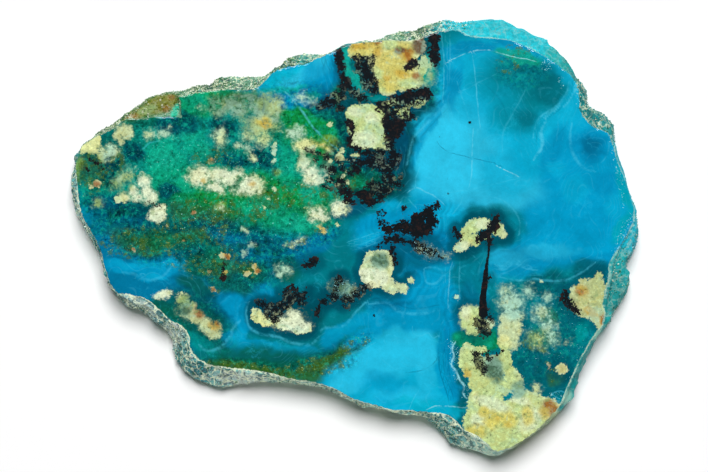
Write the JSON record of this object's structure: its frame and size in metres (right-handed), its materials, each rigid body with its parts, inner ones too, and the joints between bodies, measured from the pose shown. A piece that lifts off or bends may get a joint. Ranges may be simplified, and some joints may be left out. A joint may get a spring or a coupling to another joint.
{
  "type": "polished chrysocolla slab",
  "caption": "Polished natural slab of blue-green chrysocolla in chalcedony, with a rough broken rim and a flat sawn back that it rests on.",
  "frame": {"origin": "middle of the slab's length and width, on the flat surface that its sawn back rests on", "axes": "+X along the slab's length, to the right of the picture; +Y to the top of the picture; +Z out of the polished face"},
  "size_m": [0.1146, 0.0884, 0.007],
  "materials": {
    "polished_stone": "polished face in blue, teal and green with cream and black patches; rough crusted rim; matt sawn back"
  },
  "bodies": {
    "root": {"chrysocolla_slab": "polished_stone"}
  },
  "joints": []
}
